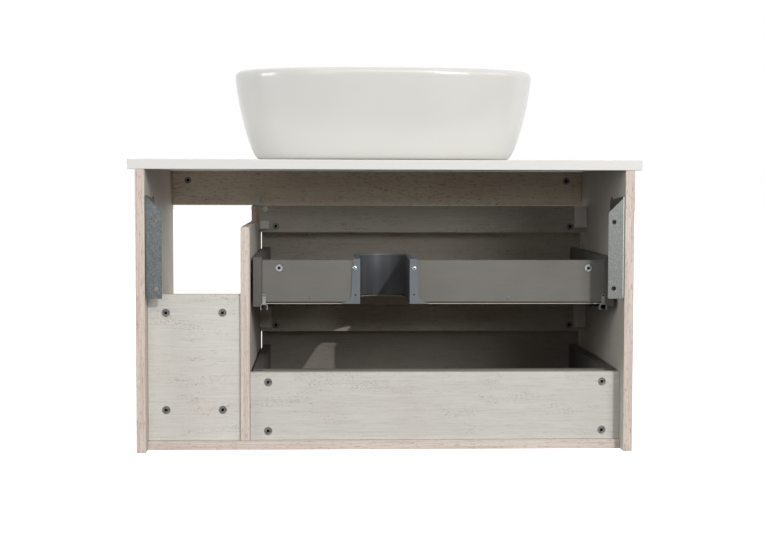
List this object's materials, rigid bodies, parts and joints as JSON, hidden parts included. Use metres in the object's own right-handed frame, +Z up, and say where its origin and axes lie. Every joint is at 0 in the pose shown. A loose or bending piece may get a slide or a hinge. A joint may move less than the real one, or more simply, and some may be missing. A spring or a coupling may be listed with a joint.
{
  "type": "vanity unit with vessel basin",
  "caption": "Wall-hung bathroom vanity with an open side niche, handleless sliding drawers on under-drawer runners, a plain slab top and an oval vessel basin standing on it",
  "frame": {"origin": "centre of the bounding box at the underside of the cabinet", "axes": "+X to the right when standing in front of the cabinet, +Y towards the wall, +Z up"},
  "size_m": [0.824, 0.46, 0.6233],
  "materials": {
    "glazed_ceramic": "glossy white glaze",
    "countertop_laminate": "white faced board, satin",
    "carcass_laminate": "pale whitewashed wood decor, matt, with beige edge band",
    "drawer_laminate": "grey textile decor, matt",
    "fibreboard": "brown hardboard",
    "dark_zinc": "dark die-cast zinc",
    "bright_zinc": "bright zinc",
    "galvanised_steel": "galvanised sheet with spangle",
    "grey_plastic": "moulded grey plastic",
    "recess_plastic": "moulded grey plastic",
    "seal": "dark sealing bead"
  },
  "bodies": {
    "carcass": {"countertop": "countertop_laminate", "basin": "glazed_ceramic", "basin_seal": "seal", "side_left": "carcass_laminate", "side_right": "carcass_laminate", "base_panel": "carcass_laminate", "divider": "carcass_laminate", "top_rail": "carcass_laminate", "upper_cross_rail": "carcass_laminate", "lower_cross_rail": "carcass_laminate", "niche_back": "carcass_laminate", "back_rail": "carcass_laminate", "upper_cross_block_left": "grey_plastic", "upper_cross_block_right": "grey_plastic", "lower_cross_block_left": "grey_plastic", "lower_cross_block_right": "grey_plastic", "divider_connector": "grey_plastic", "cam_top_rail_left": "dark_zinc", "cam_top_rail_right": "dark_zinc", "cam_upper_cross_rail_left": "dark_zinc", "cam_upper_cross_rail_right": "dark_zinc", "cam_lower_cross_rail_left": "dark_zinc", "cam_lower_cross_rail_right": "dark_zinc", "cam_niche_back_left_top": "dark_zinc", "cam_niche_back_left_bottom": "dark_zinc", "cam_niche_back_right_top": "dark_zinc", "cam_niche_back_right_bottom": "dark_zinc", "cam_back_rail_left_top": "dark_zinc", "cam_back_rail_left_bottom": "dark_zinc", "cam_back_rail_right_top": "dark_zinc", "cam_back_rail_right_bottom": "dark_zinc", "bracket_left": "galvanised_steel", "bracket_right": "galvanised_steel", "upper_drawer_runner_left_fixed": "galvanised_steel", "upper_drawer_runner_right_fixed": "galvanised_steel", "lower_drawer_runner_left_fixed": "galvanised_steel", "lower_drawer_runner_right_fixed": "galvanised_steel"},
    "upper_drawer": {"upper_drawer_front": "carcass_laminate", "upper_drawer_side_left": "drawer_laminate", "upper_drawer_side_right": "drawer_laminate", "upper_drawer_back_left": "drawer_laminate", "upper_drawer_back_right": "drawer_laminate", "upper_drawer_bottom": "fibreboard", "upper_drawer_recess": "recess_plastic", "cam_upper_drawer_left": "bright_zinc", "cam_upper_drawer_right": "bright_zinc", "upper_drawer_runner_left_drawer": "galvanised_steel", "upper_drawer_runner_right_drawer": "galvanised_steel"},
    "lower_drawer": {"lower_drawer_front": "carcass_laminate", "lower_drawer_side_left": "drawer_laminate", "lower_drawer_side_right": "drawer_laminate", "lower_drawer_back": "drawer_laminate", "lower_drawer_bottom": "fibreboard", "lower_drawer_runner_left_drawer": "galvanised_steel", "lower_drawer_runner_right_drawer": "galvanised_steel"},
    "upper_runner_middle": {"upper_drawer_runner_left_middle": "galvanised_steel", "upper_drawer_runner_right_middle": "galvanised_steel"},
    "lower_runner_middle": {"lower_drawer_runner_left_middle": "galvanised_steel", "lower_drawer_runner_right_middle": "galvanised_steel"}
  },
  "joints": [
    {"name": "upper_drawer_slide", "type": "slide", "parent": "carcass", "child": "upper_drawer", "axis": [0, -1, 0], "range_m": [0, 0.34]},
    {"name": "upper_runner_slide", "type": "slide", "parent": "carcass", "child": "upper_runner_middle", "axis": [0, -1, 0], "range_m": [0, 0.17]},
    {"name": "lower_drawer_slide", "type": "slide", "parent": "carcass", "child": "lower_drawer", "axis": [0, -1, 0], "range_m": [0, 0.34]},
    {"name": "lower_runner_slide", "type": "slide", "parent": "carcass", "child": "lower_runner_middle", "axis": [0, -1, 0], "range_m": [0, 0.17]}
  ],
  "couplings": [
    {"joint": "upper_runner_slide", "follows": "upper_drawer_slide", "ratio": 0.5},
    {"joint": "lower_runner_slide", "follows": "lower_drawer_slide", "ratio": 0.5}
  ]
}
